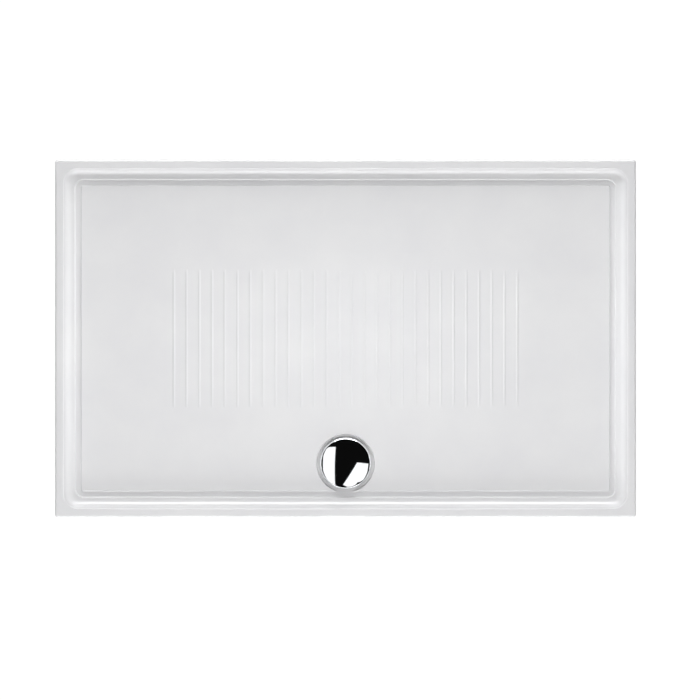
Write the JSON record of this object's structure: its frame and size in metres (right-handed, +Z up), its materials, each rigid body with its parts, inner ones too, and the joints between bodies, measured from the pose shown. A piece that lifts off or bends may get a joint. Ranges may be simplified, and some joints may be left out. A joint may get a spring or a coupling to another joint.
{
  "type": "shower tray",
  "caption": "Rectangular white ceramic shower tray with a ribbed floor, drainage groove, chrome domed waste with trap, and adjustable feet.",
  "frame": {"origin": "on the floor, under the middle of the tray, the feet screwed right in", "axes": "+Z up, +X along the long side, the waste near the -Y side"},
  "size_m": [1.3, 0.8, 0.16],
  "materials": {
    "glazed_ceramic": "glossy white glaze",
    "chrome": "polished chrome plating",
    "black_rubber": "matt",
    "zinc_plated_steel": "zinc plated",
    "black_nylon": "moulded, fine grain",
    "blue_plastic": "moulded",
    "white_polypropylene": "moulded, satin"
  },
  "bodies": {
    "tray_body": {"tray": "glazed_ceramic", "flange_gasket": "black_rubber", "waste_flange": "white_polypropylene", "trap_gasket": "black_rubber", "trap_head": "white_polypropylene", "trap_bowl": "white_polypropylene", "trap_weir": "white_polypropylene", "outlet_washer": "black_rubber", "outlet_slip_ring": "blue_plastic", "pad_foot_front_left": "black_rubber", "socket_foot_front_left": "black_nylon", "pad_foot_front_right": "black_rubber", "socket_foot_front_right": "black_nylon", "pad_foot_back_left": "black_rubber", "socket_foot_back_left": "black_nylon", "pad_foot_back_right": "black_rubber", "socket_foot_back_right": "black_nylon", "pad_foot_middle_left": "black_rubber", "socket_foot_middle_left": "black_nylon", "pad_foot_middle_right": "black_rubber", "socket_foot_middle_right": "black_nylon"},
    "dip_tube": {"dip_tube": "white_polypropylene", "dip_tube_o_ring": "black_rubber"},
    "hair_strainer": {"hair_strainer": "white_polypropylene"},
    "waste_cover": {"dome_cover": "chrome", "cover_carrier": "white_polypropylene"},
    "outlet_nut": {"outlet_nut": "white_polypropylene"},
    "foot_front_left": {"rod_foot_front_left": "zinc_plated_steel", "base_foot_front_left": "black_nylon", "sole_foot_front_left": "black_rubber"},
    "nut_front_left": {"nut_foot_front_left": "zinc_plated_steel"},
    "foot_front_right": {"rod_foot_front_right": "zinc_plated_steel", "base_foot_front_right": "black_nylon", "sole_foot_front_right": "black_rubber"},
    "nut_front_right": {"nut_foot_front_right": "zinc_plated_steel"},
    "foot_back_left": {"rod_foot_back_left": "zinc_plated_steel", "base_foot_back_left": "black_nylon", "sole_foot_back_left": "black_rubber"},
    "nut_back_left": {"nut_foot_back_left": "zinc_plated_steel"},
    "foot_back_right": {"rod_foot_back_right": "zinc_plated_steel", "base_foot_back_right": "black_nylon", "sole_foot_back_right": "black_rubber"},
    "nut_back_right": {"nut_foot_back_right": "zinc_plated_steel"},
    "foot_middle_left": {"rod_foot_middle_left": "zinc_plated_steel", "base_foot_middle_left": "black_nylon", "sole_foot_middle_left": "black_rubber"},
    "nut_middle_left": {"nut_foot_middle_left": "zinc_plated_steel"},
    "foot_middle_right": {"rod_foot_middle_right": "zinc_plated_steel", "base_foot_middle_right": "black_nylon", "sole_foot_middle_right": "black_rubber"},
    "nut_middle_right": {"nut_foot_middle_right": "zinc_plated_steel"}
  },
  "joints": [
    {"name": "dip_tube_lift", "type": "slide", "parent": "tray_body", "child": "dip_tube", "axis": [0, 0, 1], "range_m": [0, 0.14]},
    {"name": "strainer_lift", "type": "slide", "parent": "dip_tube", "child": "hair_strainer", "axis": [0, 0, 1], "range_m": [0, 0.065]},
    {"name": "cover_lift", "type": "slide", "parent": "hair_strainer", "child": "waste_cover", "axis": [0, 0, 1], "range_m": [0, 0.08]},
    {"name": "outlet_nut_turn", "type": "hinge", "parent": "tray_body", "child": "outlet_nut", "pos_m": [0, -0.188, 0.04818], "axis": [0, 1, 0], "continuous": true},
    {"name": "foot_front_left_height", "type": "slide", "parent": "tray_body", "child": "foot_front_left", "axis": [0, 0, -1], "range_m": [0, 0.03]},
    {"name": "nut_front_left_turn", "type": "hinge", "parent": "tray_body", "child": "nut_front_left", "pos_m": [-0.54, -0.29, 0.068], "axis": [0, 0, 1], "range_deg": [0, 6172]},
    {"name": "foot_front_right_height", "type": "slide", "parent": "tray_body", "child": "foot_front_right", "axis": [0, 0, -1], "range_m": [0, 0.03]},
    {"name": "nut_front_right_turn", "type": "hinge", "parent": "tray_body", "child": "nut_front_right", "pos_m": [0.54, -0.29, 0.068], "axis": [0, 0, 1], "range_deg": [0, 6172]},
    {"name": "foot_back_left_height", "type": "slide", "parent": "tray_body", "child": "foot_back_left", "axis": [0, 0, -1], "range_m": [0, 0.03]},
    {"name": "nut_back_left_turn", "type": "hinge", "parent": "tray_body", "child": "nut_back_left", "pos_m": [-0.54, 0.29, 0.068], "axis": [0, 0, 1], "range_deg": [0, 6172]},
    {"name": "foot_back_right_height", "type": "slide", "parent": "tray_body", "child": "foot_back_right", "axis": [0, 0, -1], "range_m": [0, 0.03]},
    {"name": "nut_back_right_turn", "type": "hinge", "parent": "tray_body", "child": "nut_back_right", "pos_m": [0.54, 0.29, 0.068], "axis": [0, 0, 1], "range_deg": [0, 6172]},
    {"name": "foot_middle_left_height", "type": "slide", "parent": "tray_body", "child": "foot_middle_left", "axis": [0, 0, -1], "range_m": [0, 0.03]},
    {"name": "nut_middle_left_turn", "type": "hinge", "parent": "tray_body", "child": "nut_middle_left", "pos_m": [-0.19, 0, 0.068], "axis": [0, 0, 1], "range_deg": [0, 6172]},
    {"name": "foot_middle_right_height", "type": "slide", "parent": "tray_body", "child": "foot_middle_right", "axis": [0, 0, -1], "range_m": [0, 0.03]},
    {"name": "nut_middle_right_turn", "type": "hinge", "parent": "tray_body", "child": "nut_middle_right", "pos_m": [0.19, 0, 0.068], "axis": [0, 0, 1], "range_deg": [0, 6172]}
  ],
  "couplings": [
    {"joint": "nut_front_left_turn", "follows": "foot_front_left_height", "rad_per_m": 3590.4},
    {"joint": "nut_front_right_turn", "follows": "foot_front_right_height", "rad_per_m": 3590.4},
    {"joint": "nut_back_left_turn", "follows": "foot_back_left_height", "rad_per_m": 3590.4},
    {"joint": "nut_back_right_turn", "follows": "foot_back_right_height", "rad_per_m": 3590.4},
    {"joint": "nut_middle_left_turn", "follows": "foot_middle_left_height", "rad_per_m": 3590.4},
    {"joint": "nut_middle_right_turn", "follows": "foot_middle_right_height", "rad_per_m": 3590.4}
  ]
}
